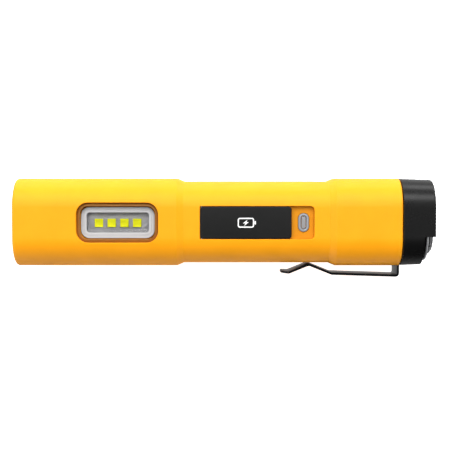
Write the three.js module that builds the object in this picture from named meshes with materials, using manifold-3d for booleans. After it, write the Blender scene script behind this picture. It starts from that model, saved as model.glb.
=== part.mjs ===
// Slim rechargeable work light: a spot light in the head, a flood light on the front face.
// It lies on its back, front face up, with its long axis along X. Units are millimetres.
// The head is at -X, the tail switch at +X and the pocket clip on the -Y side.
// The constants count X from mid-length; the finished group is moved so that its origin lies on
// the rest plane, right under the middle of the side light.
import * as THREE from 'three';
import { mergeVertices } from 'three/addons/utils/BufferGeometryUtils.js';
import Module from 'manifold-3d';

const wasm = await Module();
wasm.setup();

// Driving dimensions
const GAP = 0.3;
const AXIS_Z = 15.5;
const HEAD_END = -75.05;
const TAIL_END = 75.05;
const WIDE = { half: 15.5, flat: 5.08 };
const WAIST = { half: 14.45, flat: 5.05 };
const WAIST_TOP = AXIS_Z + WAIST.half;
// The section is a little wider across than it is deep.
const SPREAD = 1.016;
const HEAD_SHOULDER = { start: -16.55, end: -14.15 };
const TAIL_SHOULDER = { start: 37.55, end: 40.05 };
const HOUSING_END = 63.1;
const CAP_START = HOUSING_END + GAP;
const END_FILLET = 1.3;
const CORNER_STEPS = 6;
// Far enough out to clear the body on any side.
const BEYOND = 20;

const CHAMBER = { width: 24.2, height: 23.2, radius: 7.5, z: 15.0 };
const BORE = { radius: 12.9, end: -52.0, mouth: 13.6 };

const FLOOD = { x: -37.75, top: 31.0, seat: 28.1, ledge: 25.0 };
const FLOOD_MOUTH = { length: 29.3, width: 14.5, radius: 4.2 };
const FLOOD_FLOOR = { length: 28.9, width: 14.1, radius: 4.0 };
const FLOOD_POCKET = { length: 26.3, width: 11.45, radius: 2.7 };
const FLOOD_RING = { length: 25.9, width: 11.05, radius: 2.5 };
const FLOOD_WINDOW = { length: 22.1, width: 6.8, radius: 1.25 };
const FLOOD_SKIRT = {
  bottom: 28.4, top: 30.7, outer: [28.3, 13.5, 3.75], inner: [26.4, 11.6, 2.8], mouth: [27.7, 12.9, 3.45],
};
const FLOOD_LENS = { length: 21.7, width: 6.4, radius: 1.1, bottom: 27.45, top: 28.0 };
const FLOOD_BOARD = { length: 25.6, width: 10.7, radius: 2.4, bottom: 25.3, top: 26.5 };
const LED = { size: 2.95, pitch: 4.54, count: 4, y: -0.15, bottom: 26.6, top: 27.3 };

const PORT_RECESS = { start: -8.65, end: 32.1, width: 11.9, radius: 1.4, floor: 28.35, hingeRadius: 0.45 };
const COVER = { start: -8.475, end: 23.95, width: 11.5, radius: 1.25, bottom: 28.5 };
const PORT = { x: 12.0, length: 8.94, width: 3.26, top: 27.2, bottom: 24.1 };
const PLUG = { length: 12.0, width: 6.4, depth: 0.75 };
const HINGE = { x: -7.75, z: 29.225, radius: 0.725, pin: 0.4, bore: 0.48 };
const INDICATOR = { x: 28.25, length: 3.8, width: 6.6 };
const LIGHT_PIPE = { length: 1.5, width: 4.4 };

const BOARD = { start: -12.0, end: 36.0, width: 19.0, bottom: 22.9, top: 23.9 };
const CELL = { start: -16.0, end: 49.2, radius: 9.25, z: 12.95 };
const CRADLE = { width: 22.4, height: 9.0, radius: 1.0, z: 12.6 };
const TAB = { half: 3, bottom: 10, top: 16 };

const CAP = { half: 15.4, endHalf: 15.05, flat: 5.0, fillet: 0.8, floor: 70.9, notch: -5.05 };
const SPIGOT = { start: 56.9, width: 23.4, height: 22.4, radius: 7.1 };
const SHROUD_BORE = { half: 14.05, flat: 4.85 };
// The switch follows the body's squared section: half sizes, with short flats between round corners.
const SWITCH_FLAT = 4.4;
const BEZEL_RING = { start: 71.95, end: 72.7, inner: 12.15, outer: 13.75 };
const BOOT = {
  start: 69.95, flangeTop: 71.65, flange: 13.3, top: 73.45, outer: 11.95, inner: 11.5, seat: 13.6,
};
const TRIM_RING = { start: 73.55, end: 74.2, inner: 10.85, outer: 11.25 };
const BUTTON = { start: 65.9, post: 2.8, bottom: 67.8, half: 11.2, step: 73.25, face: 10.55, top: 74.85 };
const BUTTON_BORE = { start: 66.3, half: 12.05 };
const CAP_SCREW = {
  x: 60.9, y: 2.9, face: 0.2, head: 1.9, rim: 0.5, neck: 1.35, shank: 0.95, tip: 5.7, socket: 0.75,
};
const CAP_SEAL = { start: 58.15, end: 59.45, depth: 0.95 };
const SWITCH = { start: 59.3, end: 63.6, radius: 6.0, stem: 1.5, stemStart: 62.9, stemEnd: 65.6 };
const SWITCH_BOARD = { start: 57.7, end: 59.0, radius: 9.1, bore: 9.6 };

const RETAINING_RING = { start: -72.9, end: -70.9, inner: 10.7, outer: 12.6 };
const HEAD_LENS = { start: -70.6, end: -68.6, radius: 12.4 };
const LENS_SEAL = { start: -68.4, end: -67.5, inner: 11.6, outer: 12.6 };
// The reflector's inner bowl from its rim back, then its outer wall back to the rim, as [x, radius].
const REFLECTOR = [
  [-67.2, 12.5], [-67.2, 11.4], [-65.0, 10.5], [-62.5, 9.2], [-60.0, 7.5], [-57.5, 5.3], [-55.6, 3.0],
  [-55.6, 3.9], [-57.3, 6.5], [-60.0, 8.9], [-62.5, 10.6], [-65.0, 11.8], [-66.2, 12.5], [-67.2, 12.5],
];
const SPOT_LED = { start: -54.7, end: -53.7, size: 5.0 };
const LED_DOME = [[-54.3, 0], [-54.3, 2.2], [-55.3, 2.1], [-56.2, 1.5], [-56.6, 0.8], [-56.7, 0]];
const SPOT_BOARD = { start: -53.5, end: -52.1, radius: 8.0 };
const HEAT_SINK = { start: -51.8, end: -43.6, width: 23.2, height: 20.2, radius: 5.6, z: 13.6 };
const FIN = { start: -50.2, end: -43.0, pitch: 4.0, gap: 1.8, bottom: 2.0, top: 20.0 };
const HEAD_CHAMBER = { end: -18.0, width: 24.0, height: 21.0, radius: 6.0 };


const CLIP = {
  thickness: 0.8, width: 12.0, leg: 63.1, pocketStart: 62.35, pocketEnd: 63.85, pocketDepth: 12.8,
};
const LABEL = { x: 11.4, length: 42.6, width: 9.8, radius: 1.0, bottom: 14.27, top: 14.72 };

const COLOUR = {
  yellow: 0xf5b21c, black: 0x262626, silver: 0xb9bbbe, grey: 0x9a9a9a, lightGrey: 0xd2d2d4,
  clear: 0xe8eef0, lemon: 0xe8e81e, steel: 0x3a3a3c, green: 0x1d5a3a, rubber: 0x1c1c1c, cell: 0x2f6fae,
  brown: 0x8a5a22,
};

function signedVolume(position, index) {
  const a = new THREE.Vector3();
  const b = new THREE.Vector3();
  const c = new THREE.Vector3();
  let volume = 0;
  for (let i = 0; i < index.length; i += 3) {
    a.fromBufferAttribute(position, index[i]);
    b.fromBufferAttribute(position, index[i + 1]);
    c.fromBufferAttribute(position, index[i + 2]);
    volume += a.dot(b.cross(c)) / 6;
  }
  return volume;
}

// A closed body with shared vertices and its faces pointing out, ready for joining and cutting.
function solid(geometry) {
  const bare = geometry.clone();
  bare.deleteAttribute('normal');
  bare.deleteAttribute('uv');
  const merged = mergeVertices(bare, 1e-4);
  const triangles = [];
  const index = merged.index.array;
  for (let i = 0; i < index.length; i += 3) {
    const [a, b, c] = [index[i], index[i + 1], index[i + 2]];
    if (a !== b && b !== c && c !== a) triangles.push(a, b, c);
  }
  if (signedVolume(merged.attributes.position, triangles) < 0) triangles.reverse();
  const mesh = new wasm.Mesh({
    numProp: 3,
    vertProperties: new Float32Array(merged.attributes.position.array),
    triVerts: new Uint32Array(triangles),
  });
  return new wasm.Manifold(mesh);
}

function geometryOf(body) {
  const mesh = body.getMesh();
  const geometry = new THREE.BufferGeometry();
  geometry.setAttribute('position', new THREE.BufferAttribute(new Float32Array(mesh.vertProperties), 3));
  geometry.setIndex(new THREE.BufferAttribute(new Uint32Array(mesh.triVerts), 1));
  geometry.computeVertexNormals();
  return geometry;
}

function roundedRect(width, height, radius, steps = CORNER_STEPS) {
  const points = [];
  const corners = [[1, 1], [-1, 1], [-1, -1], [1, -1]];
  corners.forEach(([sx, sy], corner) => {
    for (let step = 0; step <= steps; step += 1) {
      const angle = (corner + step / steps) * Math.PI / 2;
      const u = sx * (width / 2 - radius) + radius * Math.cos(angle);
      const v = sy * (height / 2 - radius) + radius * Math.sin(angle);
      points.push([u, v]);
    }
  });
  return points;
}

// Joins outlines with equal point counts into one closed body. place(u, v, at) gives [x, y, z].
function loft(sections, place) {
  const count = sections[0].outline.length;
  const positions = [];
  sections.forEach(({ outline, at }) => outline.forEach(([u, v]) => positions.push(...place(u, v, at))));
  const index = [];
  for (let ring = 0; ring < sections.length - 1; ring += 1) {
    for (let i = 0; i < count; i += 1) {
      const a = ring * count + i;
      const b = ring * count + (i + 1) % count;
      index.push(a, b, b + count, a, b + count, a + count);
    }
  }
  const last = (sections.length - 1) * count;
  for (let i = 1; i < count - 1; i += 1) {
    index.push(0, i + 1, i, last, last + i, last + i + 1);
  }
  const geometry = new THREE.BufferGeometry();
  geometry.setAttribute('position', new THREE.Float32BufferAttribute(positions, 3));
  geometry.setIndex(index);
  return solid(geometry);
}

const alongX = (centreZ) => (u, v, at) => [at, u, v + centreZ];
const alongZ = (centreX) => (u, v, at) => [u + centreX, v, at];

function bodySection(at, { half, flat }, inset = 0) {
  const size = 2 * (half - inset);
  const outline = roundedRect(size, size, half - flat - inset).map(([u, v]) => [u * SPREAD, v]);
  return { at, outline };
}

// A rounded block standing on the XY plane, from z low to z high.
function plate(x, length, width, radius, low, high, steps = 4) {
  const outline = roundedRect(length, width, radius, steps);
  return loft([{ at: low, outline }, { at: high, outline }], alongZ(x));
}

// A rounded block running along X, centred on y = 0.
function bar(start, end, width, height, radius, centreZ) {
  const outline = roundedRect(width, height, radius);
  return loft([{ at: start, outline }, { at: end, outline }], alongX(centreZ));
}

// A turned body about the X axis. The profile holds [x, radius] pairs.
function turned(profile, centreZ = AXIS_Z, segments = 40) {
  const points = profile.map(([x, radius]) => new THREE.Vector2(radius, x));
  const geometry = new THREE.LatheGeometry(points, segments);
  geometry.rotateZ(-Math.PI / 2);
  geometry.translate(0, 0, centreZ);
  return solid(geometry);
}

// A solid along X with the body's squared section. The profile holds [x, half size] pairs.
function squared(profile, flat = SWITCH_FLAT) {
  return loft(profile.map(([x, half]) => bodySection(x, { half, flat })), alongX(AXIS_Z));
}

function squaredRing({ start, end, inner, outer }, bevel) {
  const outside = squared([[start, outer], [end - bevel, outer], [end, outer - bevel]]);
  return outside.subtract(squared([[start - 1, inner], [end + 1, inner]]));
}

function disc(start, end, radius, centreZ = AXIS_Z, segments = 40) {
  return turned([[start, 0], [start, radius], [end, radius], [end, 0]], centreZ, segments);
}

function ring({ start, end, inner, outer }) {
  return turned([[start, inner], [start, outer], [end, outer], [end, inner], [start, inner]]);
}

function cylinder(radius, length, axis, x, y, z, segments = 24) {
  const geometry = new THREE.CylinderGeometry(radius, radius, length, segments);
  if (axis === 'z') geometry.rotateX(Math.PI / 2);
  geometry.translate(x, y, z);
  return solid(geometry);
}

function box(x0, x1, y0, y1, z0, z1) {
  const geometry = new THREE.BoxGeometry(x1 - x0, y1 - y0, z1 - z0);
  geometry.translate((x0 + x1) / 2, (y0 + y1) / 2, (z0 + z1) / 2);
  return solid(geometry);
}

function cut(body, tools) {
  return tools.reduce((result, tool) => result.subtract(tool), body);
}

function piece(name, body, color, roughness, metalness = 0) {
  const material = new THREE.MeshStandardMaterial({ color, roughness, metalness });
  const mesh = new THREE.Mesh(geometryOf(body), material);
  mesh.name = name;
  return mesh;
}

function edgeFillet(at, direction, section, radius, steps) {
  const sections = [];
  for (let step = 0; step < steps; step += 1) {
    const angle = (step / steps) * Math.PI / 2;
    const inset = radius * (1 - Math.sin(angle));
    sections.push(bodySection(at + direction * radius * (1 - Math.cos(angle)), section, inset));
  }
  return sections;
}

function housingShell() {
  const seamChamfer = 0.25;
  return loft([
    ...edgeFillet(HEAD_END, 1, WIDE, END_FILLET, 4),
    bodySection(HEAD_END + END_FILLET, WIDE),
    bodySection(HEAD_SHOULDER.start, WIDE),
    bodySection(HEAD_SHOULDER.end, WAIST),
    bodySection(TAIL_SHOULDER.start, WAIST),
    bodySection(TAIL_SHOULDER.end, WIDE),
    bodySection(HOUSING_END - seamChamfer, WIDE),
    bodySection(HOUSING_END, WIDE, seamChamfer),
  ], alongX(AXIS_Z));
}

function housingCavities() {
  return [
    turned([[HEAD_END - 1, 0], [HEAD_END - 1, BORE.mouth], [HEAD_END, BORE.mouth],
      [HEAD_END + 0.7, BORE.radius], [BORE.end, BORE.radius], [BORE.end, 0]]),
    bar(BORE.end - 0.4, HEAD_CHAMBER.end, HEAD_CHAMBER.width, HEAD_CHAMBER.height, HEAD_CHAMBER.radius,
      HEAT_SINK.z),
    bar(HEAD_CHAMBER.end - 1, HOUSING_END + 1, CHAMBER.width, CHAMBER.height, CHAMBER.radius, CHAMBER.z),
  ];
}

const outlineOf = ({ length, width, radius }) => roundedRect(length, width, radius);
const plateOf = (x, { length, width, radius }, low, high, steps) => (
  plate(x, length, width, radius, low, high, steps));

function floodCuts() {
  const { x, top, seat, ledge } = FLOOD;
  const wireHole = { length: 8, width: 4, radius: 1 };
  return [
    loft([
      { at: seat, outline: outlineOf(FLOOD_FLOOR) },
      { at: top, outline: outlineOf(FLOOD_MOUTH) },
      { at: top + 1, outline: outlineOf(FLOOD_MOUTH) },
    ], alongZ(x)),
    plateOf(x, FLOOD_POCKET, ledge, seat + 0.1),
    plateOf(x, wireHole, ledge - 3, ledge + 0.5),
  ];
}

function portCuts() {
  const { start, end, width, radius, floor, hingeRadius } = PORT_RECESS;
  const centre = (start + end) / 2;
  const length = end - start;
  const draft = 0.35;
  const outline = (grow) => roundedRect(length + grow, width + grow, radius + grow / 2);
  const pocket = (size, grow, low, high) => plate(PORT.x, size.length + grow, size.width + grow,
    (size.width + grow) / 2 - 0.05, low, high, 8);
  const slot = (grow, low, high) => plate(INDICATOR.x, INDICATOR.length + grow, INDICATOR.width + grow,
    (INDICATOR.length + grow) / 2 - 0.02, low, high, 8);
  return [
    loft([
      { at: floor, outline: outline(-draft) },
      { at: floor + 0.4, outline: outline(0) },
      { at: WAIST_TOP + 1, outline: outline(0) },
    ], alongZ(centre)),
    plate(start + width / 2, width, width, hingeRadius, floor, WAIST_TOP + 1),
    plate(PORT.x, PLUG.length + 0.6, PLUG.width + 0.6, 2.2, floor - PLUG.depth - 0.15, floor + 0.1),
    pocket(PORT, 0.6, floor - 3, floor),
    slot(0.35, floor - 0.9, floor + 0.1),
    slot(-1.4, floor - 3, floor),
    cylinder(HINGE.bore, width + 3, 'y', HINGE.x, 0, HINGE.z),
  ];
}

// The slot in the seam that clamps the clip's leg, half in the housing and half in the cap.
function clipPocket() {
  const reach = CLIP.width / 2 + GAP;
  const { pocketStart, pocketEnd, pocketDepth } = CLIP;
  return box(pocketStart, pocketEnd, -BEYOND, -pocketDepth, AXIS_Z - reach, AXIS_Z + reach);
}

function fixingCuts() {
  const slack = 0.25;
  const sink = 1.5;
  const drill = (radius, top, side) => (
    cylinder(radius + slack, 2 * top, 'z', CAP_SCREW.x, side * CAP_SCREW.y, 0));
  const holes = [-1, 1].flatMap((side) => [
    drill(CAP_SCREW.shank, CAP_SCREW.tip, side),
    drill(CAP_SCREW.head, sink, side),
  ]);
  const room = 0.2;
  const halfLength = LABEL.length / 2 + room;
  const halfWidth = LABEL.width / 2 + room;
  const labelSeat = box(LABEL.x - halfLength, LABEL.x + halfLength, LABEL.bottom - GAP, BEYOND,
    AXIS_Z - halfWidth, AXIS_Z + halfWidth);
  return [...holes, clipPocket(), labelSeat];
}

function makeHousing() {
  const tools = [...housingCavities(), ...floodCuts(), ...portCuts(), ...fixingCuts()];
  return piece('housing', cut(housingShell(), tools), COLOUR.yellow, 0.42);
}

function makeHeatSink() {
  const { start, end, width, height, radius, z } = HEAT_SINK;
  const slots = [-2, -1, 0, 1, 2].map((place) => {
    const middle = place * FIN.pitch;
    return box(FIN.start, FIN.end, middle - FIN.gap / 2, middle + FIN.gap / 2, FIN.bottom, FIN.top);
  });
  const block = bar(start, end, width, height, radius, z);
  return piece('head_heat_sink', cut(block, slots), COLOUR.silver, 0.4, 1);
}

function makeHeadLight() {
  const dome = turned([...LED_DOME].reverse(), AXIS_Z, 24);
  const board = disc(SPOT_BOARD.start, SPOT_BOARD.end, SPOT_BOARD.radius);
  const led = bar(SPOT_LED.start, SPOT_LED.end, SPOT_LED.size, SPOT_LED.size, 0.4, AXIS_Z).add(dome);
  return [
    piece('head_retaining_ring', ring(RETAINING_RING), COLOUR.black, 0.5),
    piece('head_lens', disc(HEAD_LENS.start, HEAD_LENS.end, HEAD_LENS.radius), COLOUR.clear, 0.05),
    piece('head_lens_gasket', ring(LENS_SEAL), COLOUR.rubber, 0.8),
    piece('head_reflector', turned(REFLECTOR), COLOUR.silver, 0.1, 1),
    piece('spot_led', led, COLOUR.lemon, 0.3),
    piece('spot_led_board', board, COLOUR.lightGrey, 0.5),
    makeHeatSink(),
  ];
}

function makeFloodSkirt() {
  const { bottom, top, outer, inner, mouth } = FLOOD_SKIRT;
  const outside = plate(FLOOD.x, ...outer, bottom, top, CORNER_STEPS);
  const slope = loft([
    { at: bottom - 0.01, outline: roundedRect(...inner) },
    { at: top + 0.01, outline: roundedRect(...mouth) },
  ], alongZ(FLOOD.x));
  return piece('side_light_gasket', outside.subtract(slope), COLOUR.brown, 0.6);
}

function makeFloodLight() {
  const bezelBottom = 27.0;
  const bezel = plateOf(FLOOD.x, FLOOD_RING, bezelBottom, FLOOD.seat, CORNER_STEPS)
    .subtract(plateOf(FLOOD.x, FLOOD_WINDOW, bezelBottom - 1, FLOOD.seat + 1, CORNER_STEPS));
  const lens = plateOf(FLOOD.x, FLOOD_LENS, FLOOD_LENS.bottom, FLOOD_LENS.top);
  const board = plateOf(FLOOD.x, FLOOD_BOARD, FLOOD_BOARD.bottom, FLOOD_BOARD.top);
  const pieces = [
    piece('side_light_bezel', bezel, COLOUR.lightGrey, 0.5),
    makeFloodSkirt(),
    piece('side_light_lens', lens, COLOUR.clear, 0.05),
    piece('side_led_board', board, COLOUR.grey, 0.6),
  ];
  for (let i = 0; i < LED.count; i += 1) {
    const x = FLOOD.x + (i - (LED.count - 1) / 2) * LED.pitch;
    const led = plate(x, LED.size, LED.size, 0.3, LED.bottom, LED.top, 2).translate(0, LED.y, 0);
    pieces.push(piece(`side_led_${i + 1}`, led, COLOUR.lemon, 0.4));
  }
  return pieces;
}

function makePortCover() {
  const centre = (COVER.start + COVER.end) / 2;
  const length = COVER.end - COVER.start;
  const outline = plate(centre, length, COVER.width, COVER.radius, COVER.bottom - 1, WAIST_TOP + 1, 6);
  const side = new THREE.Shape();
  side.moveTo(COVER.end, COVER.bottom);
  side.lineTo(COVER.end, WAIST_TOP - 0.3);
  side.lineTo(COVER.end - 0.3, WAIST_TOP);
  side.lineTo(HINGE.x, HINGE.z + HINGE.radius);
  side.absarc(HINGE.x, HINGE.z, HINGE.radius, Math.PI / 2, 1.5 * Math.PI, false);
  const slab = new THREE.ExtrudeGeometry(side, { depth: BEYOND, bevelEnabled: false, curveSegments: 12 });
  slab.rotateX(Math.PI / 2);
  slab.translate(0, BEYOND / 2, 0);
  const plug = plate(PORT.x, PLUG.length, PLUG.width, 2.0, COVER.bottom - PLUG.depth, COVER.bottom + 0.5);
  const bore = cylinder(HINGE.bore, BEYOND, 'y', HINGE.x, 0, HINGE.z);
  const flap = solid(slab).intersect(outline).add(plug).subtract(bore);
  const pin = cylinder(HINGE.pin, PORT_RECESS.width + 2.6, 'y', HINGE.x, 0, HINGE.z);
  return [
    piece('port_cover', flap, COLOUR.black, 0.7),
    piece('port_cover_hinge_pin', pin, COLOUR.silver, 0.3, 1),
  ];
}

function makeIndicator() {
  const floor = PORT_RECESS.floor;
  const { x, length, width } = INDICATOR;
  const bezel = plate(x, length, width, length / 2 - 0.02, floor - 0.8, floor + 0.25, 8)
    .subtract(plate(x, 1.9, 4.8, 0.93, floor - 2, floor + 2, 6));
  const pipe = plate(x, LIGHT_PIPE.length, LIGHT_PIPE.width, 0.73, 25.2, floor + 0.2, 6);
  return [
    piece('indicator_bezel', bezel, COLOUR.grey, 0.5),
    piece('indicator_light_pipe', pipe, COLOUR.lightGrey, 0.3),
    piece('charge_led', plate(x, 1.6, 0.8, 0.1, 24.0, 24.8, 2), COLOUR.lightGrey, 0.3),
  ];
}

function makeElectronics() {
  const { x, length, width, top, bottom } = PORT;
  const shell = plate(x, length, width, width / 2 - 0.02, bottom, top, 8)
    .subtract(plate(x, length - 0.6, width - 0.6, width / 2 - 0.32, bottom + 0.8, top + 1, 8))
    .add(box(x - 3.3, x + 3.3, -0.35, 0.35, bottom + 0.5, top - 0.6));
  const boardLength = BOARD.end - BOARD.start;
  const boardX = (BOARD.start + BOARD.end) / 2;
  const board = plate(boardX, boardLength, BOARD.width, 1.0, BOARD.bottom, BOARD.top);
  return [
    piece('main_circuit_board', board, COLOUR.green, 0.5),
    piece('usb_port', shell, COLOUR.silver, 0.3, 1),
  ];
}

function makeBattery() {
  const { start, end, radius, z } = CELL;
  const cell = turned([[start, 0], [start, radius - 0.4], [start + 0.4, radius], [end - 0.4, radius],
    [end, radius - 0.4], [end, 0]], z);
  const wall = 1.8;
  const room = 0.6;
  const cradle = bar(start - wall, end + wall, CRADLE.width, CRADLE.height, CRADLE.radius, CRADLE.z)
    .subtract(disc(start - room, end + room, radius + 0.2, z));
  const tab = (near, far) => box(near, far, -TAB.half, TAB.half, TAB.bottom, TAB.top);
  return [
    piece('battery_cell', cell, COLOUR.cell, 0.4),
    piece('battery_cradle', cradle, COLOUR.black, 0.6),
    piece('battery_tab_positive', tab(start - 0.4, start - 0.15), COLOUR.silver, 0.3, 1),
    piece('battery_tab_negative', tab(end + 0.15, end + 0.4), COLOUR.silver, 0.3, 1),
  ];
}

function capShell() {
  const start = { half: CAP.half, flat: CAP.flat };
  const end = { half: CAP.endHalf, flat: CAP.flat };
  const seamChamfer = 0.2;
  return loft([
    bodySection(CAP_START, start, seamChamfer),
    bodySection(CAP_START + seamChamfer, start),
    ...edgeFillet(TAIL_END, -1, end, CAP.fillet, 4).reverse(),
  ], alongX(AXIS_Z));
}

function makeTailCap() {
  const spigot = bar(SPIGOT.start, CAP_START + 0.5, SPIGOT.width, SPIGOT.height, SPIGOT.radius, CHAMBER.z);
  const { start, end, depth } = CAP_SEAL;
  const core = (shrink) => bar(start - 1, end + 1, SPIGOT.width - shrink, SPIGOT.height - shrink,
    SPIGOT.radius - shrink / 2, CHAMBER.z);
  const sealGroove = bar(start - 0.15, end + 0.15, 30, 30, 3, CHAMBER.z).subtract(core(2 * 0.8));
  const bores = [
    squared([[CAP.floor, SHROUD_BORE.half], [TAIL_END + 1, SHROUD_BORE.half]], SHROUD_BORE.flat),
    squared([[BOOT.start - 0.1, BOOT.seat], [CAP.floor + 0.1, BOOT.seat]]),
    squared([[BUTTON_BORE.start, BUTTON_BORE.half], [BOOT.start, BUTTON_BORE.half]]),
    disc(BUTTON_BORE.start - 1.4, BUTTON_BORE.start + 0.1, BUTTON.post + 0.4, AXIS_Z, 24),
    disc(SPIGOT.start - 1, BUTTON_BORE.start - 1.3, SWITCH_BOARD.bore),
    box(CAP.floor, TAIL_END + 1, -BEYOND, CAP.notch, -1, 2 * AXIS_Z + 2),
    sealGroove,
    clipPocket(),
  ];
  [-1, 1].forEach((side) => {
    bores.push(cylinder(CAP_SCREW.shank + 0.15, 4, 'z', CAP_SCREW.x, side * CAP_SCREW.y, 3.9));
  });
  const swell = 0.5;
  const seal = bar(start, end, SPIGOT.width + swell, SPIGOT.height + swell, SPIGOT.radius + swell / 2,
    CHAMBER.z)
    .subtract(core(2 * depth - swell));
  return [
    piece('tail_cap', cut(capShell().add(spigot), bores), COLOUR.black, 0.45),
    piece('tail_cap_seal', seal, COLOUR.rubber, 0.8),
  ];
}

function makeCapScrews() {
  const { x, y, face, head, rim, neck, shank, tip, socket } = CAP_SCREW;
  const profile = [[face, 0], [face, head], [rim, head], [neck, shank], [tip, shank], [tip, 0]];
  const points = profile.map(([z, radius]) => new THREE.Vector2(radius, z));
  return [-1, 1].map((side, i) => {
    const geometry = new THREE.LatheGeometry(points, 24);
    geometry.rotateX(Math.PI / 2);
    geometry.translate(x, side * y, 0);
    const hexagon = cylinder(socket, 2 * (face + 0.8), 'z', x, side * y, 0, 6);
    return piece(`tail_cap_screw_${i + 1}`, solid(geometry).subtract(hexagon), COLOUR.steel, 0.3, 1);
  });
}

function makeBoot() {
  const { start, flangeTop, flange, top, outer, inner } = BOOT;
  const outside = squared([[start, flange], [flangeTop, flange], [flangeTop + 0.01, outer], [top, outer]]);
  return outside.subtract(squared([[start - 1, inner], [top + 1, inner]]));
}

function makeButton() {
  const { start, post, bottom, half, step, face, top } = BUTTON;
  const crown = 0.4;
  const dish = turned([[top + 0.1, 0], [top + 0.1, 9.1], [top - 0.5, 7.5], [top - 0.7, 0]].reverse());
  const cap = squared([
    [bottom, half], [step, half], [step + 0.01, face], [top - crown, face], [top, face - crown],
  ]);
  return cap.add(disc(start, bottom + 0.1, post, AXIS_Z, 24))
    .subtract(dish);
}

function makeTailSwitch() {
  const { start, end, radius, stem, stemStart, stemEnd } = SWITCH;
  const board = disc(SWITCH_BOARD.start, SWITCH_BOARD.end, SWITCH_BOARD.radius);
  const well = disc(stemStart - 1.5, end + 1, stem + GAP, AXIS_Z, 24);
  return [
    piece('switch_bezel_ring', squaredRing(BEZEL_RING, 0.2), COLOUR.silver, 0.25, 1),
    piece('switch_boot', makeBoot(), COLOUR.rubber, 0.7),
    piece('switch_trim_ring', squaredRing(TRIM_RING, 0.1), COLOUR.silver, 0.25, 1),
    piece('switch_button', makeButton(), COLOUR.rubber, 0.6),
    piece('switch_plunger', disc(stemStart, stemEnd, stem, AXIS_Z, 24), COLOUR.lightGrey, 0.5),
    piece('switch_body', disc(start, end, radius).subtract(well), COLOUR.black, 0.5),
    piece('switch_board', board, COLOUR.green, 0.5),
  ];
}

// Rounds the corners of a polyline given as [x, y, fillet radius].
function roundedPath(corners) {
  let from = new THREE.Vector2(corners[0][0], corners[0][1]);
  const samples = [from.clone()];
  for (let i = 1; i < corners.length - 1; i += 1) {
    const corner = new THREE.Vector2(corners[i][0], corners[i][1]);
    const next = new THREE.Vector2(corners[i + 1][0], corners[i + 1][1]);
    const inward = from.clone().sub(corner).normalize();
    const outward = next.clone().sub(corner).normalize();
    const reach = corners[i][2] / Math.tan(inward.angleTo(outward) / 2);
    const entry = corner.clone().addScaledVector(inward, reach);
    const exit = corner.clone().addScaledVector(outward, reach);
    const bend = new THREE.QuadraticBezierCurve(entry, corner, exit);
    samples.push(...bend.getPoints(6));
    from = exit;
  }
  const last = corners[corners.length - 1];
  samples.push(new THREE.Vector2(last[0], last[1]));
  return samples;
}

function stripShape(points, thickness) {
  const sides = [[], []];
  points.forEach((point, i) => {
    const before = points[Math.max(i - 1, 0)];
    const after = points[Math.min(i + 1, points.length - 1)];
    const tangent = after.clone().sub(before).normalize();
    const normal = new THREE.Vector2(-tangent.y, tangent.x).multiplyScalar(thickness / 2);
    sides[0].push(point.clone().add(normal));
    sides[1].unshift(point.clone().sub(normal));
  });
  return new THREE.Shape([...sides[0], ...sides[1]]);
}

function makeClip() {
  const line = roundedPath([
    [20.65, -18.1, 0], [23.5, -18.4, 2.2], [30.75, -15.45, 2.2], [39.0, -18.78, 2.2],
    [CLIP.leg, -19.53, 1.1], [CLIP.leg, -13.4, 0],
  ]);
  const strip = new THREE.ExtrudeGeometry(stripShape(line, CLIP.thickness), {
    depth: CLIP.width, bevelEnabled: false,
  });
  strip.translate(0, 0, AXIS_Z - CLIP.width / 2);
  return piece('pocket_clip', solid(strip), COLOUR.steel, 0.35, 1);
}

function makeLabel() {
  const { x, length, width, radius, bottom, top } = LABEL;
  const outline = roundedRect(length, width, radius, 4);
  const place = (u, v, at) => [u + x, at, v + AXIS_Z];
  const body = loft([{ at: bottom, outline }, { at: top, outline }], place);
  return piece('side_label', body, COLOUR.yellow, 0.5);
}

const flashlight = new THREE.Group();
flashlight.name = 'flashlight';
flashlight.position.x = -FLOOD.x;
flashlight.add(
  makeHousing(),
  ...makeHeadLight(),
  ...makeFloodLight(),
  ...makePortCover(),
  ...makeIndicator(),
  ...makeElectronics(),
  ...makeBattery(),
  ...makeTailCap(),
  ...makeCapScrews(),
  ...makeTailSwitch(),
  makeClip(),
  makeLabel(),
);

export default flashlight;
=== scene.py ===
"""Looks of a slim rechargeable work light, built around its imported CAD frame.

Lengths in the classes are millimetres in the frame's own axes: X runs along the body towards
the tail, Z out of the front face. Meshes are scaled to metres as they are made.
"""

import logging
import math
from collections.abc import Callable, Sequence
from dataclasses import dataclass, field
from enum import Enum

import bmesh
import bpy
from mathutils import Matrix, Vector


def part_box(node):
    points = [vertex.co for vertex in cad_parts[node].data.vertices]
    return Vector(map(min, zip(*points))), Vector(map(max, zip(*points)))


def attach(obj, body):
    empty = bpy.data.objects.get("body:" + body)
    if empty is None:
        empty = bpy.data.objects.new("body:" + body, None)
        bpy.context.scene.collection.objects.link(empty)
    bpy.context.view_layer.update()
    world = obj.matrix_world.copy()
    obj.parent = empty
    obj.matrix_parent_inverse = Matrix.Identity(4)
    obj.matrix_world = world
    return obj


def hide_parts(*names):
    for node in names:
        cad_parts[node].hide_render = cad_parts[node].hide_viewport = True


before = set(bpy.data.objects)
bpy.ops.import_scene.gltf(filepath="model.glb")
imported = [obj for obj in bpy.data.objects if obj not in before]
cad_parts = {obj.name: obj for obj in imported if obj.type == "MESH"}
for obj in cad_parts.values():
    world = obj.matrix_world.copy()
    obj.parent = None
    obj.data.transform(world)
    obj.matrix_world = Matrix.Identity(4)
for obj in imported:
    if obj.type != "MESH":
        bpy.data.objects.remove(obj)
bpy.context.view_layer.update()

LOG = logging.getLogger("work_light")
MM = 0.001
CORNER_STEPS = 20
FRAME_CORNER_STEPS = 12
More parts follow.
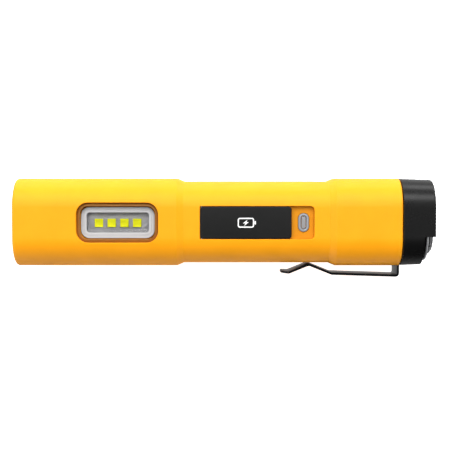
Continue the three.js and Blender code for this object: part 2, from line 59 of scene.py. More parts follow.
# Height of the middle of the chamber and of the tail cap's spigot.
CHAMBER_Z = 15.0
# Gap between the port cover and the hinge end of its recess.
PORT_GAP = 0.175
# How far the floor lies under the housing, in metres.
FLOOR_GAP = 0.00002
WHITE = (1.0, 1.0, 1.0, 1.0)
# Angles, in degrees, from which an edge stays sharp.
CRISP = 32.0
CUT = 34.0
NOTCHED = 35.0
MOULDED = 40.0
SMALL_ROUND = 45.0
ROUND_STEPS = 96

Point = tuple[float, float, float]
Outline = list[tuple[float, float]]
Ring = list[Point]
# Length, width and corner radius of a rectangle with round corners.
Size = tuple[float, float, float]


# ---------------------------------------------------------------- frame and mesh helpers


@dataclass(frozen=True)
class Box:
    """Where a CAD node is, in millimetres."""

    low: Vector
    high: Vector

    @property
    def centre(self) -> Vector:
        """Middle of the box."""
        return (self.low + self.high) / 2

    @property
    def size(self) -> Vector:
        """Full size of the box along each axis."""
        return self.high - self.low


def node_box(node: str) -> Box:
    """Reads a CAD node's box in millimetres.

    Args:
        node: Name of the CAD node.

    Returns:
        Its lowest and highest corners.
    """
    low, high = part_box(node)
    return Box(low / MM, high / MM)


BODY_AXIS_Z = node_box("housing").centre.z


def rounded_rect(width: float, height: float, radius: float, steps: int = CORNER_STEPS) -> Outline:
    """Gives the outline of a rectangle with round corners, anticlockwise.

    Args:
        width: Full size along the first direction.
        height: Full size along the second direction.
        radius: Corner radius.
        steps: Straight pieces in each corner.

    Returns:
        The outline's points about its own centre.
    """
    points: Outline = []
    for corner, (side_u, side_v) in enumerate(((1, 1), (-1, 1), (-1, -1), (1, -1))):
        for step in range(steps + 1):
            angle = (corner + step / steps) * math.pi / 2
            points.append((
                side_u * (width / 2 - radius) + radius * math.cos(angle),
                side_v * (height / 2 - radius) + radius * math.sin(angle),
            ))
    return points


def circle(radius: float, steps: int = ROUND_STEPS) -> Outline:
    """Gives the points of a circle about its own centre."""
    angles = (2 * math.pi * step / steps for step in range(steps))
    return [(radius * math.cos(angle), radius * math.sin(angle)) for angle in angles]


def quarter_round(radius: float, steps: int) -> Outline:
    """Gives a rounded edge as pairs of what is left off along one side and along the other."""
    angles = [step / steps * math.pi / 2 for step in range(steps + 1)]
    return [(radius * (1 - math.cos(angle)), radius * (1 - math.sin(angle))) for angle in angles]


def flat_ring(outline: Outline, centre: Vector, z: float) -> Ring:
    """Places an outline level at height z, about a centre."""
    return [(centre.x + u, centre.y + v, z) for u, v in outline]


def oval(size: Vector) -> Size:
    """Gives the length, width and corner radius of an oval with round ends."""
    return size.x, size.y, min(size.x, size.y) / 2 - 0.02


def side_ring(outline: Outline, centre: Vector, y: float) -> Ring:
    """Places an outline along the body's side at y, about a centre."""
    return [(centre.x + u, y, centre.z + v) for u, v in outline]


def upright_ring(outline: Outline, x: float, centre_z: float = BODY_AXIS_Z) -> Ring:
    """Places an outline across the body at x."""
    return [(x, u, centre_z + v) for u, v in outline]


def to_object(name: str, mesh: bmesh.types.BMesh) -> bpy.types.Object:
    """Turns a bmesh into a scene object and frees it.

    Args:
        name: Name of the new object.
        mesh: Its mesh, in metres.

    Returns:
        The object, linked to the scene.
    """
    bmesh.ops.recalc_face_normals(mesh, faces=mesh.faces)
    data = bpy.data.meshes.new(name)
    mesh.to_mesh(data)
    mesh.free()
    made = bpy.data.objects.new(name, data)
    bpy.context.scene.collection.objects.link(made)
    return made


def bridge(
    mesh: bmesh.types.BMesh,
    first: Sequence[bmesh.types.BMVert],
    second: Sequence[bmesh.types.BMVert],
) -> None:
    """Joins two rings of as many vertices with a band of faces.

    Args:
        mesh: The mesh that holds them.
        first: One ring.
        second: The other.
    """
    count = len(first)
    for i in range(count):
        after = (i + 1) % count
        mesh.faces.new((first[i], first[after], second[after], second[i]))


def loft(name: str, rings: Sequence[Ring], closed: bool = False) -> bpy.types.Object:
    """Skins a row of rings that have equal point counts.

    Args:
        name: Name of the new object.
        rings: The rings, in millimetres.
        closed: Joins the last ring to the first in place of end caps.

    Returns:
        The skinned object.
    """
    mesh = bmesh.new()
    rows = [[mesh.verts.new(Vector(point) * MM) for point in ring] for ring in rings]
    following = rows[1:] + ([rows[0]] if closed else [])
    for low, high in zip(rows, following):
        bridge(mesh, low, high)
    if not closed:
        mesh.faces.new(tuple(reversed(rows[0])))
        mesh.faces.new(rows[-1])
    return to_object(name, mesh)


def turned(
    name: str,
    profile: Sequence[tuple[float, float]],
    closed: bool = False,
    steps: int = ROUND_STEPS,
) -> bpy.types.Object:
    """Turns a profile about the body's axis.

    Args:
        name: Name of the new object.
        profile: Pairs of x and radius. A radius of 0 is taken as a very small one.
        closed: The profile returns to its first point and leaves a hole in the middle.
        steps: Straight pieces round the axis.

    Returns:
        The turned object.
    """
    tiny = 0.01
    rings = [upright_ring(circle(max(radius, tiny), steps), x) for x, radius in profile]
    return loft(name, rings, closed)


def bend(start: Vector, corner: Vector, end: Vector, steps: int) -> list[Vector]:
    """Gives the points of a smooth bend that leaves a corner aside."""
    shares = (step / steps for step in range(steps + 1))
    return [(1 - t) ** 2 * start + 2 * t * (1 - t) * corner + t**2 * end for t in shares]


def rounded_profile(
    corners: Sequence[tuple[float, float]], radius: float, steps: int = 4
) -> Outline:
    """Rounds every corner of a closed profile.

    Args:
        corners: The profile's corners in order.
        radius: Largest corner radius; short sides take a smaller one.
        steps: Straight pieces in each rounded corner.

    Returns:
        The profile with round corners.
    """
    rounded: Outline = []
    count = len(corners)
    longest_share = 0.45
    for i, corner in enumerate(corners):
        here = Vector(corner)
        before = Vector(corners[i - 1]) - here
        after = Vector(corners[(i + 1) % count]) - here
        reach = min(radius, before.length * longest_share, after.length * longest_share)
        start, end = here + before.normalized() * reach, here + after.normalized() * reach
        rounded += [(point.x, point.y) for point in bend(start, here, end, steps)]
    return rounded


def frame_ring(
    name: str, centre: Vector, size: Size, profile: Sequence[tuple[float, float]]
) -> bpy.types.Object:
    """Runs a closed profile round a rectangle with round corners.

    Args:
        name: Name of the new object.
        centre: Middle of the frame; its z isn't used.
        size: Length, width and corner radius of the frame's outer edge.
        profile: Pairs of inset from the outer edge and z.

    Returns:
        The frame-shaped object.
    """
    length, width, radius = size
    smallest = 0.15
    rings = []
    for inset, z in profile:
        outline = rounded_rect(
            length - 2 * inset, width - 2 * inset, max(radius - inset, smallest), FRAME_CORNER_STEPS
        )
        rings.append(flat_ring(outline, centre, z))
    return loft(name, rings, closed=True)


def slab(
    name: str, centre: Vector, size: Size, low: float, high: float, soften: float
) -> bpy.types.Object:
    """Makes a level slab with round corners and softened top and bottom edges.

    Args:
        name: Name of the new object.
        centre: Middle of the slab; its z isn't used.
        size: Length, width and corner radius.
        low: Height of its underside.
        high: Height of its top.
        soften: Radius of its top and bottom edges.

    Returns:
        The slab.
    """
    length, width, radius = size
    smallest = 0.1
    edge = quarter_round(soften, 5)
    levels = [(inset, low + below) for inset, below in reversed(edge)]
    levels += [(inset, high - below) for inset, below in edge]
    rings = []
    for inset, z in levels:
        outline = rounded_rect(
            length - 2 * inset, width - 2 * inset, max(radius - inset, smallest), FRAME_CORNER_STEPS
        )
        rings.append(flat_ring(outline, centre, z))
    return loft(name, rings)


def combine(
    base: bpy.types.Object, tools: Sequence[bpy.types.Object], operation: str = "DIFFERENCE"
) -> bpy.types.Object:
    """Cuts tools out of a base, or joins them to it, and deletes the tools.

    Args:
        base: The object that stays.
        tools: The objects to cut with or to join.
        operation: DIFFERENCE or UNION.

    Returns:
        The base, with the result as its mesh.
    """
    for tool in tools:
        step = base.modifiers.new(tool.name, "BOOLEAN")
        step.operation = operation
        step.solver = "EXACT"
        step.object = tool
    graph = bpy.context.evaluated_depsgraph_get()
    made = bpy.data.meshes.new_from_object(base.evaluated_get(graph))
    base.modifiers.clear()
    base.data = made
    for tool in tools:
        bpy.data.objects.remove(tool)
    return base


def shade(
    piece: bpy.types.Object,
    angle: float,
    skin_normal: Callable[[Vector], Vector | None] | None = None,
) -> None:
    """Shades a piece smooth, with sharp edges where faces meet steeply.

    Args:
        piece: The piece to shade.
        angle: Angle between faces, in degrees, from which an edge is sharp.
        skin_normal: Gives the outer skin's true normal at a place in millimetres, or None off it.
    """
    mesh = piece.data
    mesh.shade_smooth()
    mesh.set_sharp_from_angle(angle=math.radians(angle))
    if skin_normal is None:
        return
    agreement = 0.985
    normals = [Vector(corner.vector) for corner in mesh.corner_normals]
    for face in mesh.polygons:
        for loop in face.loop_indices:
            place = mesh.vertices[mesh.loops[loop].vertex_index].co / MM
            true = skin_normal(place)
            if true is not None and true.dot(face.normal) > agreement:
                normals[loop] = true
    mesh.normals_split_custom_set(normals)


# ---------------------------------------------------------------- finishes


def linear(colour: str) -> tuple[float, float, float, float]:
    """Turns an sRGB hex colour into linear red, green, blue and alpha.

    Args:
        colour: Six hex digits.

    Returns:
        The linear colour, with an alpha of 1.
    """
    parts = [int(colour[i : i + 2], 16) / 255 for i in (0, 2, 4)]
    red, green, blue = (
        part / 12.92 if part <= 0.04045 else ((part + 0.055) / 1.055) ** 2.4 for part in parts
    )
    return red, green, blue, 1.0


def add_node(
    tree: bpy.types.NodeTree,
    kind: str,
    inputs: dict[str | int, object] | None = None,
    links: dict[str | int, bpy.types.NodeSocket] | None = None,
    **settings: object,
) -> bpy.types.Node:
    """Adds a shader node with its settings and links.

    Args:
        tree: The node tree.
        kind: The node's type.
        inputs: Values by input name or number.
        links: Sockets to join, by input name or number.
        settings: The node's own properties.

    Returns:
        The new node.
    """
    node = tree.nodes.new(kind)
    for name, value in settings.items():
        setattr(node, name, value)
    for name, value in (inputs or {}).items():
        node.inputs[name].default_value = value
    for name, socket in (links or {}).items():
        tree.links.new(socket, node.inputs[name])
    return node


class Grain(Enum):
    """How the fine texture of a surface runs."""

    EVEN = "even in all directions"
    ALONG = "drawn out along X"
    TURNED = "in rings round the body's axis"


@dataclass(frozen=True)
class Finish:
    """A surface: its base, its fine grain and its broad unevenness."""

    name: str
    colour: str
    roughness: float
    metallic: float = 0.0
    ior: float = 1.5
    grain: Grain = Grain.EVEN
    grain_mm: float = 0.35
    grain_depth_mm: float = 0.004
    patch_mm: float = 9.0
    patch_shade: float = 0.05
    patch_roughness: float = 0.05
    extra: dict[str, object] = field(default_factory=dict)

    def material(self) -> bpy.types.Material:
        """Builds the material once and returns it."""
        existing = bpy.data.materials.get(self.name)
        if existing is not None:
            return existing
        made = bpy.data.materials.new(self.name)
        made.use_nodes = True
        tree = made.node_tree
        tree.nodes.clear()
        place = add_node(tree, "ShaderNodeTexCoord").outputs["Object"]
        shader = add_node(
            tree,
            "ShaderNodeBsdfPrincipled",
            {
                "Metallic": self.metallic,
                **({} if self.metallic else {"IOR": self.ior}),
                **self.extra,
            },
            {
                "Base Color": self.base_colour(tree, place),
                "Roughness": self.surface_roughness(tree, place),
                "Normal": self.relief(tree, place),
            },
        )
        add_node(tree, "ShaderNodeOutputMaterial", links={"Surface": shader.outputs[0]})
        return made

    def patches(
        self, tree: bpy.types.NodeTree, place: bpy.types.NodeSocket
    ) -> bpy.types.NodeSocket:
        """Broad cloudy unevenness, about patch_mm across."""
        noise = add_node(
            tree,
            "ShaderNodeTexNoise",
            {"Scale": 1 / (self.patch_mm * MM), "Detail": 3.0, "Roughness": 0.55},
            {"Vector": place},
        )
        return noise.outputs["Fac"]

    def base_colour(
        self, tree: bpy.types.NodeTree, place: bpy.types.NodeSocket
    ) -> bpy.types.NodeSocket:
        """The base colour, a little darker in patches."""
        bright = linear(self.colour)
        dark = tuple(part * (1 - self.patch_shade) for part in bright[:3]) + (1.0,)
        ramp = add_node(tree, "ShaderNodeValToRGB", links={"Fac": self.patches(tree, place)})
        ramp.color_ramp.elements[0].position = 0.35
        ramp.color_ramp.elements[0].color = dark
        ramp.color_ramp.elements[1].position = 0.65
        ramp.color_ramp.elements[1].color = bright
        return ramp.outputs["Color"]

    def surface_roughness(
        self, tree: bpy.types.NodeTree, place: bpy.types.NodeSocket
    ) -> bpy.types.NodeSocket:
        """The roughness, a little higher and lower in patches."""
        spread = add_node(
            tree,
            "ShaderNodeMapRange",
            {
                "From Min": 0.3,
                "From Max": 0.7,
                "To Min": max(self.roughness - self.patch_roughness, 0.02),
                "To Max": min(self.roughness + self.patch_roughness, 1.0),
            },
            {"Value": self.patches(tree, place)},
        )
        return spread.outputs["Result"]

    def grain_place(
        self, tree: bpy.types.NodeTree, place: bpy.types.NodeSocket
    ) -> bpy.types.NodeSocket:
        """The coordinates of the fine grain, stretched the way the grain runs."""
        stretch = 0.03
        if self.grain is Grain.ALONG:
            scaled = add_node(
                tree, "ShaderNodeMapping", {"Scale": (stretch, 1.0, 1.0)}, {"Vector": place}
            )
            return scaled.outputs["Vector"]
        if self.grain is Grain.TURNED:
            moved = add_node(
                tree,
                "ShaderNodeMapping",
                {"Location": (0.0, 0.0, -BODY_AXIS_Z * MM), "Scale": (0.0, 1.0, 1.0)},
                {"Vector": place},
            )
            radius = add_node(
                tree, "ShaderNodeVectorMath", links={0: moved.outputs["Vector"]}, operation="LENGTH"
            )
            along = add_node(tree, "ShaderNodeSeparateXYZ", links={"Vector": place})
            rings = add_node(
                tree,
                "ShaderNodeCombineXYZ",
                links={"X": radius.outputs["Value"], "Y": along.outputs["X"]},
            )
            return rings.outputs["Vector"]
        return place

    def relief(
        self, tree: bpy.types.NodeTree, place: bpy.types.NodeSocket
    ) -> bpy.types.NodeSocket:
        """The fine grain as a bump."""
        noise = add_node(
            tree,
            "ShaderNodeTexNoise",
            {"Scale": 1 / (self.grain_mm * MM), "Detail": 2.0, "Roughness": 0.6},
            {"Vector": self.grain_place(tree, place)},
        )
        bump = add_node(
            tree,
            "ShaderNodeBump",
            {"Strength": 1.0, "Distance": self.grain_depth_mm * MM},
            {"Height": noise.outputs["Fac"]},
        )
        return bump.outputs["Normal"]


class Finishes:
    """Every finish on the light, named for what it really is; one of them is painted shade in the
    charging recess.
    """

    # Spark-eroded mould texture: an even satin skin that spreads highlights.
    HOUSING = Finish(
        "moulded_yellow_polycarbonate", "F6A114", 0.42, ior=1.52, grain_depth_mm=0.003,
        extra={"Specular IOR Level": 0.17},
    )
    # The charging recess's walls and floor take a darker yellow: painted shade for the hollow, on a
    # rougher eroded skin.
    PAINTED_RECESS_SHADE = Finish(
        "yellow_polycarbonate_painted_recess_shade", "D2850E", 0.6, ior=1.52, grain_depth_mm=0.005,
        extra={"Specular IOR Level": 0.2},
    )
    # Glass-filled nylon is nearly black with a dull, slightly uneven sheen.
    CAP = Finish("moulded_black_nylon", "0D0D0D", 0.27, ior=1.5, grain_depth_mm=0.003)
    # Soft silicone has a dry, matt skin.
    RUBBER = Finish("black_silicone_rubber", "141414", 0.5, ior=1.43, grain_mm=0.25)
    # Harder nitrile on the switch: deep black with a damp-looking gloss.
    NITRILE = Finish("black_nitrile_rubber", "060606", 0.28, ior=1.48)
    # The skirt that seals the side light's frame, a smoky brown silicone.
    SKIRT = Finish("brown_silicone_rubber", "98682F", 0.6, ior=1.43, patch_shade=0.12)
    # Pad-printed ink stands slightly proud and looks flat white.
    INK = Finish("white_pad_print_ink", "F4F4F4", 0.6, patch_shade=0.03)
    # Light grey moulded frame, satin.
    FRAME = Finish("moulded_light_grey_polycarbonate", "B8B8B9", 0.4, ior=1.52)
    # Mid grey moulding round the indicator.
    GREY = Finish("moulded_grey_polycarbonate", "8E9298", 0.35, ior=1.52)
    # Frosted light pipe: pale, lets some light through.
    LIGHT_PIPE = Finish(
        "frosted_polycarbonate", "9C9DA0", 0.3, ior=1.58, extra={"Transmission Weight": 0.25}
    )
    # Grey solder mask under the side light's LEDs.
    LED_BOARD = Finish("grey_solder_mask", "89898B", 0.5)
    # Cured phosphor silicone over an LED, matt lemon yellow.
    PHOSPHOR = Finish(
        "cured_led_phosphor", "D8D818", 0.6, ior=1.43, grain_mm=0.12,
        extra={"Specular IOR Level": 0.1},
    )
    # Turned and clear anodised aluminium shows fine rings.
    RING = Finish(
        "turned_anodised_aluminium", "E4E6E8", 0.3, metallic=0.75, grain=Grain.TURNED,
        grain_mm=0.12, grain_depth_mm=0.003,
    )
    # Blued spring steel: a dark, slightly blue oxide skin, with drawn lines along the strip.
    SPRING = Finish(
        "blued_spring_steel", "2E3238", 0.33, metallic=1.0, grain=Grain.ALONG,
        grain_mm=0.15, grain_depth_mm=0.002, patch_shade=0.2,
    )
    # Bright nickel plate on small steel parts.
    NICKEL = Finish("nickel_plated_steel", "C8C4BA", 0.22, metallic=1.0)
    # Vacuum-coated aluminium on a polished moulding is a mirror.
    MIRROR = Finish(
        "vacuum_coated_aluminium", "EDEDEE", 0.04, metallic=1.0, grain_mm=1.2,
        grain_depth_mm=0.001, patch_roughness=0.02,
    )
    # Bare extruded aluminium, dull and pale.
    ALUMINIUM = Finish("bare_aluminium", "BFC1C4", 0.4, metallic=1.0, grain=Grain.ALONG)
    # White solder mask on the spot LED's metal-core board.
    WHITE_BOARD = Finish("white_solder_mask", "E4E4E2", 0.4)
    # Green solder mask on glass-fibre board.
    GREEN_BOARD = Finish("green_solder_mask", "14512F", 0.3, patch_mm=2.0, patch_shade=0.3)
    # Heat-shrunk PVC sleeve on the cell, smooth and glossy.
    SLEEVE = Finish("pvc_shrink_sleeve", "2B63A8", 0.25, ior=1.54, patch_shade=0.08)
    # Clear polycarbonate with a coating that keeps reflections faint.
    LENS = Finish(
        "coated_clear_polycarbonate", "FFFFFF", 0.02, ior=1.18, grain_mm=6.0, grain_depth_mm=0.0001,
        patch_shade=0.0, patch_roughness=0.01,
        extra={"Transmission Weight": 1.0, "Specular IOR Level": 0.2},
    )


def finish_piece(
    piece: bpy.types.Object,
    finish: Finish,
    body: str,
    stands_for: Sequence[str],
    sharp: float | None = CRISP,
) -> None:
    """Shades and dresses a piece, and ties it to its body.

    Args:
        piece: The piece, in place.
        finish: Its finish.
        body: The CAD body that it moves with.
        stands_for: The CAD nodes that it replaces.
        sharp: Angle from which an edge is sharp, or None to leave its shading as it is.
    """
    if sharp is not None:
        shade(piece, sharp)
    piece.data.materials.clear()
    piece.data.materials.append(finish.material())
    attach(piece, body)
    if stands_for:
        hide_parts(*stands_for)
    LOG.info("%s: %s, %d faces, on %s", piece.name, finish.name, len(piece.data.polygons), body)


# ---------------------------------------------------------------- housing


@dataclass(frozen=True)
class Section:
    """A square section whose flats run into large corner arcs."""

    half: float
    flat: float
    # The section is a little wider across than it is deep.
    spread: float = 1.016

    @property
    def arc(self) -> float:
        """Radius of the corner arcs."""
        return self.half - self.flat

    def ring(self, x: float, inset: float = 0.0) -> Ring:
        """The section's ring at x, drawn in by an inset."""
        size = 2 * (self.half - inset)
        outline = rounded_rect(size, size, self.arc - inset)
        return upright_ring([(u * self.spread, v) for u, v in outline], x)

    def drop(self, y: float) -> float:
        """How far the front face is below its flat, at y."""
        past = max(abs(y) / self.spread - self.flat, 0.0)
        return self.arc - math.sqrt(max(self.arc**2 - past**2, 0.0))

    def normal(self, place: Vector) -> Vector | None:
        """The skin's true normal at a place, or None if the place isn't on the skin."""
        across = Vector((place.y / self.spread, place.z - BODY_AXIS_Z))
        past = Vector((
            math.copysign(max(abs(across.x) - self.flat, 0.0), across.x),
            math.copysign(max(abs(across.y) - self.flat, 0.0), across.y),
        ))
        tolerance = 0.02
        if abs(past.length - self.arc) > tolerance:
            return None
        return Vector((0.0, past.x / self.spread, past.y)).normalized()


def leg_pocket() -> bpy.types.Object:
    """The slot in the seam that clamps the clip's leg, half in the housing and half in the cap."""
    clip = node_box("pocket_clip")
    room = 0.3
    start, end = clip.high.x - 0.8 - room, clip.high.x + room
    outline = [(start, -20.0), (end, -20.0), (end, -12.8), (start, -12.8)]
    return loft("leg_pocket", [
        [(x, y, z) for x, y in outline] for z in (clip.low.z - room, clip.high.z + room)
    ])


@dataclass
class Housing:
    """The yellow body: a wide head, a slim waist and a wide tail end."""

    wide: Section = Section(15.5, 5.08)
    waist: Section = Section(14.45, 5.05)
    head_length: float = 58.2
    head_shoulder: float = 2.4
    tail_length: float = 23.05
    tail_shoulder: float = 2.5
    end_fillet: float = 1.3
    seam_chamfer: float = 0.25
    flood_mouth: tuple[float, float, float] = (29.3, 14.5, 4.2)
    flood_bottom: tuple[float, float, float] = (28.9, 14.1, 4.0)
    flood_pocket: tuple[float, float, float] = (26.5, 11.7, 2.8)
    flood_depth: float = 2.85
    flood_ledge: float = 6.0
    port_recess: Size = (40.75, 11.9, 1.4)
    port_depth: float = 1.6
    bore_radius: float = 12.9
    chamber: Size = (24.2, 23.2, 7.5)

    def half_at(
        self, x: float, start: float, end: float, before: Section, after: Section
    ) -> Section:
        """The section at x across a straight shoulder with slightly rounded ends."""
        window = 0.09
        samples = 9
        total = 0.0
        for i in range(samples):
            at = x + window * (2 * i / (samples - 1) - 1)
            total += min(max((at - start) / (end - start), 0.0), 1.0)
        share = total / samples
        return Section(
            before.half + (after.half - before.half) * share,
            before.flat + (after.flat - before.flat) * share,
        )

    def shoulder(self, start: float, end: float, before: Section, after: Section) -> list[Ring]:
        """The rings of one shoulder."""
        margin = 0.1
        edges = [-margin, -0.05, 0.0, 0.05, margin]
        places = [start + edge for edge in edges] + [end + edge for edge in edges]
        return [self.half_at(x, start, end, before, after).ring(x) for x in places]

    def skin(self) -> bpy.types.Object:
        """The closed outer form."""
        box = node_box("housing")
        head, seam = box.low.x, box.high.x
        end = quarter_round(self.end_fillet, 8)
        rings = [self.wide.ring(head + along, inset) for along, inset in end]
        front = head + self.head_length
        back = seam - self.tail_length
        rings += self.shoulder(front, front + self.head_shoulder, self.wide, self.waist)
        rings += self.shoulder(back - self.tail_shoulder, back, self.waist, self.wide)
        rings.append(self.wide.ring(seam - self.seam_chamfer))
        rings.append(self.wide.ring(seam, self.seam_chamfer))
        return loft("housing_moulding", rings)

    def recess(
        self,
        name: str,
        centre: Vector,
        mouth: Size,
        bottom: Size,
        depth: float,
        section: Section,
        fillet: float,
    ) -> bpy.types.Object:
        """A cutter for a recess in the front face, with a rounded mouth that follows the skin.

        Args:
            name: Name of the cutter.
            centre: Middle of the recess.
            mouth: Length, width and corner radius where the walls end, below the rounded edge.
            bottom: The same at the floor.
            depth: Depth of the floor below the flat.
            section: The body's section there.
            fillet: Radius of the rounded edge.

        Returns:
            The cutter.
        """
        top = BODY_AXIS_Z + section.half
        clearance = 1.0
        levels = [(bottom, 0.0, depth), (mouth, 0.0, fillet)]
        levels += [(mouth, spread, below) for spread, below in quarter_round(fillet, 6)[1:]]
        rings = [
            self.draped_ring(centre, size, spread, below, depth, section, top)
            for size, spread, below in levels
        ]
        length, width, radius = mouth
        rim = rounded_rect(length + 2 * fillet, width + 2 * fillet, radius + fillet)
        rings.append(flat_ring(rim, centre, top + clearance))
        return loft(name, rings)

    def draped_ring(
        self,
        centre: Vector,
        size: Sequence[float],
        spread: float,
        below: float,
        depth: float,
        section: Section,
        top: float,
    ) -> Ring:
        """One level of a recess: level at the floor, and following the skin at the mouth."""
        outline = rounded_rect(size[0] + 2 * spread, size[1] + 2 * spread, size[2] + spread)
        follow = 1 - below / depth
        return [
            (centre.x + u, centre.y + v, top - below - follow * section.drop(v)) for u, v in outline
        ]

    def cutters(self) -> list[bpy.types.Object]:
        """Everything that is cut out of the outer form."""
        return [
            *self.front_cutters(),
            *self.port_cutters(),
            *self.inner_cutters(),
            *self.fixing_cutters(),
        ]

    def front_cutters(self) -> list[bpy.types.Object]:
        """The recess of the side light and the seat under its frame."""
        centre = node_box("side_light_bezel").centre
        top = BODY_AXIS_Z + self.wide.half
        fillet, narrowing, overlap = 0.3, 0.35, 0.3
        length, width, radius = self.flood_mouth
        mouth = (length - narrowing, width - narrowing, radius)
        depth, ledge = self.flood_depth, top - self.flood_ledge
        seat = top - depth
        return [
            self.recess("flood_recess", centre, mouth, self.flood_bottom, depth, self.wide, fillet),
            slab("flood_seat", centre, self.flood_pocket, ledge, seat + overlap, 0.01),
        ]

    def port_cutters(self) -> list[bpy.types.Object]:
        """The recess of the charging port, squarer at the hinge, and the holes in its floor."""
        start = node_box("port_cover").low.x - PORT_GAP
        length, width, radius = self.port_recess
        fillet, lip, slope = 0.22, 0.2, 0.55
        depth, overlap = self.port_depth, 0.3
        centre = Vector((start + length / 2, 0.0, 0.0))
        mouth = (length - lip, width - lip, radius)
        bottom = (length - slope, width - slope, radius - lip)
        hinge_end = Vector((start + 2.99, 0.0, 0.0))
        hinge_mouth, hinge_bottom = (5.8, mouth[1], 0.42), (5.45, bottom[1], 0.3)
        floor = BODY_AXIS_Z + self.waist.half - depth
        pocket, usb_end = floor - 0.9, floor - 4
        usb, lamp = node_box("usb_port"), node_box("indicator_bezel")
        usb_size = oval(usb.size + Vector((0.6, 0.6, 0.0)))
        lamp_size = oval(lamp.size + Vector((0.35, 0.35, 0.0)))
        return [
            self.recess("port_recess", centre, mouth, bottom, depth, self.waist, fillet),
            self.recess(
                "hinge_recess", hinge_end, hinge_mouth, hinge_bottom, depth, self.waist, fillet
            ),
            slab("plug_pocket", usb.centre, (12.6, 7.0, 2.2), pocket, floor + overlap, 0.05),
            slab("usb_hole", usb.centre, usb_size, usb_end, floor, 0.05),
            slab("lamp_hole", lamp.centre, lamp_size, pocket, floor + overlap, 0.02),
        ]

    def inner_cutters(self) -> list[bpy.types.Object]:
        """The lamp bore at the head and the chambers behind it."""
        head = node_box("housing").low.x
        seam = node_box("housing").high.x
        bore = self.bore_radius
        end = node_box("spot_led_board").high.x + 0.1
        round_edge = 0.7
        mouth = [(head + u, bore + v) for u, v in quarter_round(round_edge, 6)]
        lamp = turned("lamp_bore", [(head - 1, bore + round_edge), *mouth, (end, bore)])
        middle = node_box("head_heat_sink").centre.z
        behind = [upright_ring(rounded_rect(24.0, 21.0, 6.0), x, middle) for x in (end - 0.2, 19.0)]
        chamber = rounded_rect(*self.chamber)
        main = [upright_ring(chamber, x, CHAMBER_Z) for x in (18.5, seam + 1)]
        return [lamp, loft("head_chamber", behind), loft("main_chamber", main)]

    def fixing_cutters(self) -> list[bpy.types.Object]:
        """The pockets for the screws, the clip's leg and the side plate."""
        made = []
        for number in (1, 2):
            screw = node_box(f"tail_cap_screw_{number}")
            levels = ((-1.0, 2.5), (0.0, 2.35), (0.12, 2.2), (0.6, 2.15), (1.6, 1.15), (6.0, 1.15))
            rings = [
                flat_ring(rounded_rect(2 * radius, 2 * radius, radius * 0.999, 8), screw.centre, z)
                for z, radius in levels
            ]
            made.append(loft(f"screw_pocket_{number}", rings))
        made.append(leg_pocket())
        plate = node_box("side_label")
        size = plate.size + Vector((0.4, 0.0, 0.4))
        shape = rounded_rect(size.x, size.z, 1.2, 8)
        depths = (plate.low.y - 0.3, 16.0)
        made.append(loft("plate_pocket", [side_ring(shape, plate.centre, y) for y in depths]))
        return made

    def skin_normal(self, place: Vector) -> Vector | None:
        """The true normal of the wide or waist skin at a place."""
        return self.wide.normal(place) or self.waist.normal(place)

    def build(self) -> None:
        """Makes and dresses the housing and its side plate."""
        shell = combine(self.skin(), self.cutters())
        shade(shell, CUT, self.skin_normal)
        finish_piece(shell, Finishes.HOUSING, "body", ["housing"], sharp=None)
        self.paint_recess_shade(shell)
        self.build_plate()

    def paint_recess_shade(self, shell: bpy.types.Object) -> None:
        """Paints shade on the walls and the floor of the charging recess with a darker yellow
        finish.
        """
        shell.data.materials.append(Finishes.PAINTED_RECESS_SHADE.material())
        top = BODY_AXIS_Z + self.waist.half
        start = node_box("port_cover").low.x - PORT_GAP
        end, half = start + self.port_recess[0], self.port_recess[1] / 2
        lowest, highest = top - self.port_depth - 0.05, top - 0.15
        # Faces below the mouth inside the recess get the darker finish: painted shade, not a
        # different plastic.
        for face in shell.data.polygons:
            place = face.center / MM
            inside = start < place.x < end and abs(place.y) < half
            if inside and lowest < place.z < highest:
                face.material_index = 1

    def build_plate(self) -> None:
        """Makes the thin blank plate on the side away from the clip."""
        plate = node_box("side_label")
        size, top = plate.size, plate.high.y
        soften = 0.08
        rings = []
        levels = ((0.0, plate.low.y), (0.0, top - soften), (0.03, top - 0.02), (soften, top))
        for inset, y in levels:
            shape = rounded_rect(size.x - 2 * inset, size.z - 2 * inset, 1.0 - inset, 8)
            rings.append(side_ring(shape, plate.centre, y))
        made = loft("side_plate", rings)
        finish_piece(made, Finishes.HOUSING, "body", ["side_label"])


# ---------------------------------------------------------------- lights


